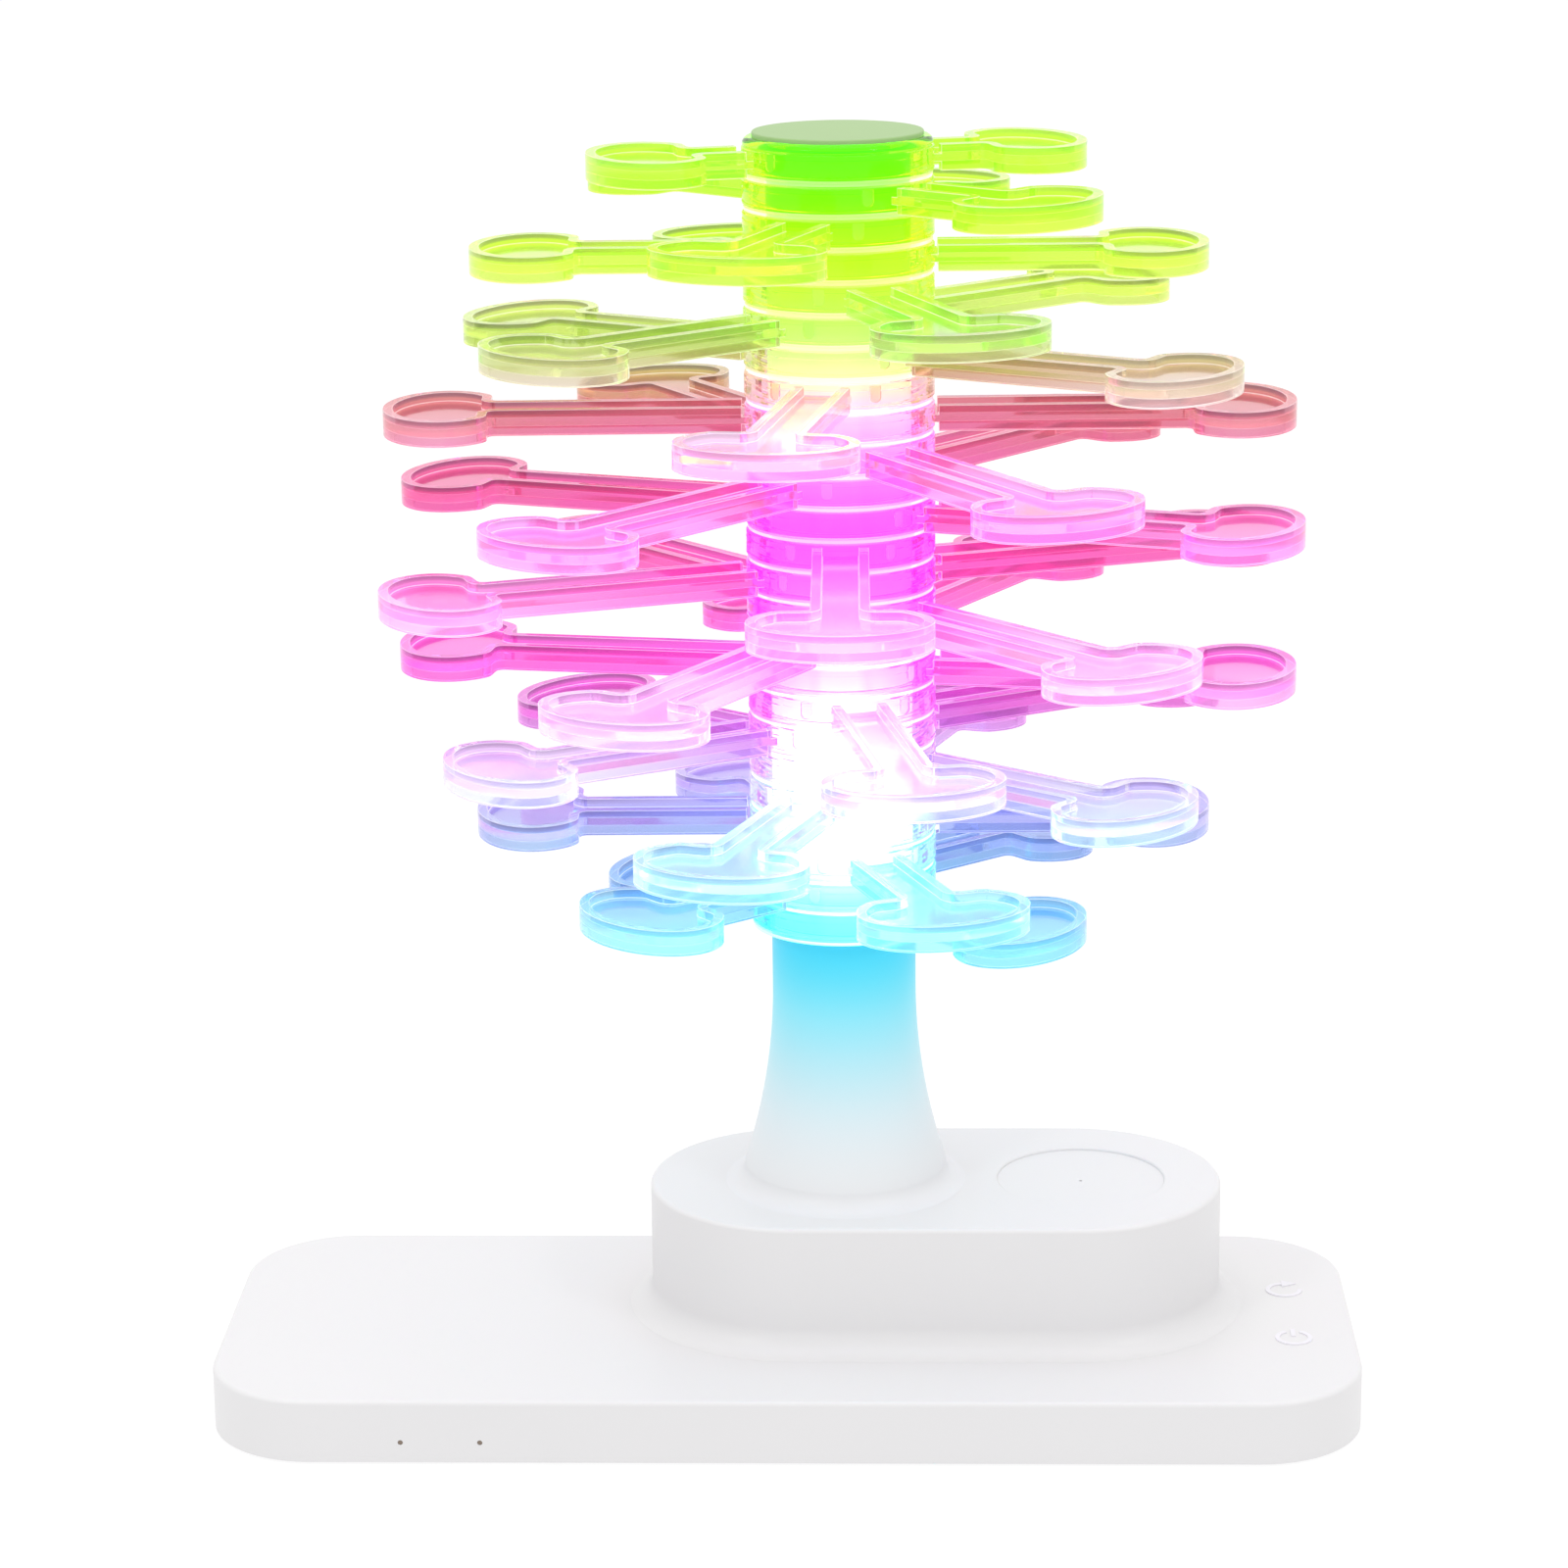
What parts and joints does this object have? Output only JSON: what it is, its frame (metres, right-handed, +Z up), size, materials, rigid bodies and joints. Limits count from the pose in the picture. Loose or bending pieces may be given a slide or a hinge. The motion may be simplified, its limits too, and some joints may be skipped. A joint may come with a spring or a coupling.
{
  "type": "wireless charging desk lamp with turning leaf rings",
  "caption": "Tree-shaped desk lamp on a wireless charging base: a lit core carries stacked clear rings, each with two opposite leaves that turn by hand.",
  "frame": {"origin": "centre of the base plate's outline, on the underside of the anti-slip mat", "axes": "+Z up along the tree, +X to the right along the base plate, +Y to the rear, where the supply socket is"},
  "size_m": [0.22, 0.1794, 0.2435],
  "materials": {
    "base_cover": "satin",
    "platform_cover": "satin",
    "bottom_cover": "matte",
    "anti_slip_mat": "matte",
    "cover_screws": "satin",
    "ballast_plate": "zinc plated steel",
    "phone_coil": "enamelled copper wire",
    "phone_ferrite": "matte sintered",
    "pad_disc": "satin",
    "pad_coil": "enamelled copper wire",
    "pad_ferrite": "matte sintered",
    "main_board": "solder mask",
    "board_parts": "moulded",
    "usb_socket": "satin",
    "touch_board": "solder mask",
    "colour_icon": "satin",
    "power_icon": "satin",
    "indicator_pipes": "smoked",
    "trunk": "satin, lets light through",
    "bar_foot": "satin",
    "foot_screws": "satin",
    "core_bar": "satin",
    "led_strips": "white solder mask",
    "led_chips": "clear resin",
    "core_tube": "frosted, lets light through",
    "stack_seat": "clear, lit",
    "stack_washers": "clear, lit",
    "top_collar": "clear, lit",
    "cap_disc": "frosted",
    "top_screw": "satin",
    "inner_wiring": "silicone wire",
    "leaf_ring_01": "clear moulded acrylic, lit from the core",
    "leaf_ring_02": "clear moulded acrylic, lit from the core",
    "leaf_ring_03": "clear moulded acrylic, lit from the core",
    "leaf_ring_04": "clear moulded acrylic, lit from the core",
    "leaf_ring_05": "clear moulded acrylic, lit from the core",
    "leaf_ring_06": "clear moulded acrylic, lit from the core",
    "leaf_ring_07": "clear moulded acrylic, lit from the core",
    "leaf_ring_08": "clear moulded acrylic, lit from the core",
    "leaf_ring_09": "clear moulded acrylic, lit from the core",
    "leaf_ring_10": "clear moulded acrylic, lit from the core",
    "leaf_ring_11": "clear moulded acrylic, lit from the core",
    "leaf_ring_12": "clear moulded acrylic, lit from the core",
    "leaf_ring_13": "clear moulded acrylic, lit from the core",
    "leaf_ring_14": "clear moulded acrylic, lit from the core",
    "leaf_ring_15": "clear moulded acrylic, lit from the core",
    "leaf_ring_16": "clear moulded acrylic, lit from the core",
    "leaf_ring_17": "clear moulded acrylic, lit from the core",
    "leaf_ring_18": "clear moulded acrylic, lit from the core",
    "leaf_ring_19": "clear moulded acrylic, lit from the core",
    "leaf_ring_20": "clear moulded acrylic, lit from the core",
    "leaf_ring_21": "clear moulded acrylic, lit from the core",
    "leaf_ring_22": "clear moulded acrylic, lit from the core",
    "leaf_ring_23": "clear moulded acrylic, lit from the core",
    "leaf_ring_24": "clear moulded acrylic, lit from the core",
    "leaf_ring_25": "clear moulded acrylic, lit from the core"
  },
  "bodies": {
    "lamp": {"base_cover": "base_cover", "platform_cover": "platform_cover", "bottom_cover": "bottom_cover", "anti_slip_mat": "anti_slip_mat", "cover_screws": "cover_screws", "ballast_plate": "ballast_plate", "phone_coil": "phone_coil", "phone_ferrite": "phone_ferrite", "pad_disc": "pad_disc", "pad_coil": "pad_coil", "pad_ferrite": "pad_ferrite", "main_board": "main_board", "board_parts": "board_parts", "usb_socket": "usb_socket", "touch_board": "touch_board", "colour_icon": "colour_icon", "power_icon": "power_icon", "indicator_pipes": "indicator_pipes", "trunk": "trunk", "bar_foot": "bar_foot", "foot_screws": "foot_screws", "core_bar": "core_bar", "led_strips": "led_strips", "led_chips": "led_chips", "core_tube": "core_tube", "stack_seat": "stack_seat", "stack_washers": "stack_washers", "top_collar": "top_collar", "cap_disc": "cap_disc", "top_screw": "top_screw", "inner_wiring": "inner_wiring"},
    "ring_01": {"leaf_ring_01": "leaf_ring_01"},
    "ring_02": {"leaf_ring_02": "leaf_ring_02"},
    "ring_03": {"leaf_ring_03": "leaf_ring_03"},
    "ring_04": {"leaf_ring_04": "leaf_ring_04"},
    "ring_05": {"leaf_ring_05": "leaf_ring_05"},
    "ring_06": {"leaf_ring_06": "leaf_ring_06"},
    "ring_07": {"leaf_ring_07": "leaf_ring_07"},
    "ring_08": {"leaf_ring_08": "leaf_ring_08"},
    "ring_09": {"leaf_ring_09": "leaf_ring_09"},
    "ring_10": {"leaf_ring_10": "leaf_ring_10"},
    "ring_11": {"leaf_ring_11": "leaf_ring_11"},
    "ring_12": {"leaf_ring_12": "leaf_ring_12"},
    "ring_13": {"leaf_ring_13": "leaf_ring_13"},
    "ring_14": {"leaf_ring_14": "leaf_ring_14"},
    "ring_15": {"leaf_ring_15": "leaf_ring_15"},
    "ring_16": {"leaf_ring_16": "leaf_ring_16"},
    "ring_17": {"leaf_ring_17": "leaf_ring_17"},
    "ring_18": {"leaf_ring_18": "leaf_ring_18"},
    "ring_19": {"leaf_ring_19": "leaf_ring_19"},
    "ring_20": {"leaf_ring_20": "leaf_ring_20"},
    "ring_21": {"leaf_ring_21": "leaf_ring_21"},
    "ring_22": {"leaf_ring_22": "leaf_ring_22"},
    "ring_23": {"leaf_ring_23": "leaf_ring_23"},
    "ring_24": {"leaf_ring_24": "leaf_ring_24"},
    "ring_25": {"leaf_ring_25": "leaf_ring_25"}
  },
  "joints": [
    {"name": "turn_01", "type": "hinge", "parent": "lamp", "child": "ring_01", "pos_m": [0.0112, 0.0094, 0.2385], "axis": [0, 0, 1], "continuous": true},
    {"name": "turn_02", "type": "hinge", "parent": "lamp", "child": "ring_02", "pos_m": [0.0112, 0.0094, 0.2325], "axis": [0, 0, 1], "continuous": true},
    {"name": "turn_03", "type": "hinge", "parent": "lamp", "child": "ring_03", "pos_m": [0.0112, 0.0094, 0.2265], "axis": [0, 0, 1], "continuous": true},
    {"name": "turn_04", "type": "hinge", "parent": "lamp", "child": "ring_04", "pos_m": [0.0112, 0.0094, 0.2205], "axis": [0, 0, 1], "continuous": true},
    {"name": "turn_05", "type": "hinge", "parent": "lamp", "child": "ring_05", "pos_m": [0.0112, 0.0094, 0.2145], "axis": [0, 0, 1], "continuous": true},
    {"name": "turn_06", "type": "hinge", "parent": "lamp", "child": "ring_06", "pos_m": [0.0112, 0.0094, 0.2085], "axis": [0, 0, 1], "continuous": true},
    {"name": "turn_07", "type": "hinge", "parent": "lamp", "child": "ring_07", "pos_m": [0.0112, 0.0094, 0.2025], "axis": [0, 0, 1], "continuous": true},
    {"name": "turn_08", "type": "hinge", "parent": "lamp", "child": "ring_08", "pos_m": [0.0112, 0.0094, 0.1965], "axis": [0, 0, 1], "continuous": true},
    {"name": "turn_09", "type": "hinge", "parent": "lamp", "child": "ring_09", "pos_m": [0.0112, 0.0094, 0.1905], "axis": [0, 0, 1], "continuous": true},
    {"name": "turn_10", "type": "hinge", "parent": "lamp", "child": "ring_10", "pos_m": [0.0112, 0.0094, 0.1845], "axis": [0, 0, 1], "continuous": true},
    {"name": "turn_11", "type": "hinge", "parent": "lamp", "child": "ring_11", "pos_m": [0.0112, 0.0094, 0.1785], "axis": [0, 0, 1], "continuous": true},
    {"name": "turn_12", "type": "hinge", "parent": "lamp", "child": "ring_12", "pos_m": [0.0112, 0.0094, 0.1725], "axis": [0, 0, 1], "continuous": true},
    {"name": "turn_13", "type": "hinge", "parent": "lamp", "child": "ring_13", "pos_m": [0.0112, 0.0094, 0.1665], "axis": [0, 0, 1], "continuous": true},
    {"name": "turn_14", "type": "hinge", "parent": "lamp", "child": "ring_14", "pos_m": [0.0112, 0.0094, 0.1605], "axis": [0, 0, 1], "continuous": true},
    {"name": "turn_15", "type": "hinge", "parent": "lamp", "child": "ring_15", "pos_m": [0.0112, 0.0094, 0.1545], "axis": [0, 0, 1], "continuous": true},
    {"name": "turn_16", "type": "hinge", "parent": "lamp", "child": "ring_16", "pos_m": [0.0112, 0.0094, 0.1485], "axis": [0, 0, 1], "continuous": true},
    {"name": "turn_17", "type": "hinge", "parent": "lamp", "child": "ring_17", "pos_m": [0.0112, 0.0094, 0.1425], "axis": [0, 0, 1], "continuous": true},
    {"name": "turn_18", "type": "hinge", "parent": "lamp", "child": "ring_18", "pos_m": [0.0112, 0.0094, 0.1365], "axis": [0, 0, 1], "continuous": true},
    {"name": "turn_19", "type": "hinge", "parent": "lamp", "child": "ring_19", "pos_m": [0.0112, 0.0094, 0.1305], "axis": [0, 0, 1], "continuous": true},
    {"name": "turn_20", "type": "hinge", "parent": "lamp", "child": "ring_20", "pos_m": [0.0112, 0.0094, 0.1245], "axis": [0, 0, 1], "continuous": true},
    {"name": "turn_21", "type": "hinge", "parent": "lamp", "child": "ring_21", "pos_m": [0.0112, 0.0094, 0.1185], "axis": [0, 0, 1], "continuous": true},
    {"name": "turn_22", "type": "hinge", "parent": "lamp", "child": "ring_22", "pos_m": [0.0112, 0.0094, 0.1125], "axis": [0, 0, 1], "continuous": true},
    {"name": "turn_23", "type": "hinge", "parent": "lamp", "child": "ring_23", "pos_m": [0.0112, 0.0094, 0.1065], "axis": [0, 0, 1], "continuous": true},
    {"name": "turn_24", "type": "hinge", "parent": "lamp", "child": "ring_24", "pos_m": [0.0112, 0.0094, 0.1005], "axis": [0, 0, 1], "continuous": true},
    {"name": "turn_25", "type": "hinge", "parent": "lamp", "child": "ring_25", "pos_m": [0.0112, 0.0094, 0.0945], "axis": [0, 0, 1], "continuous": true}
  ]
}
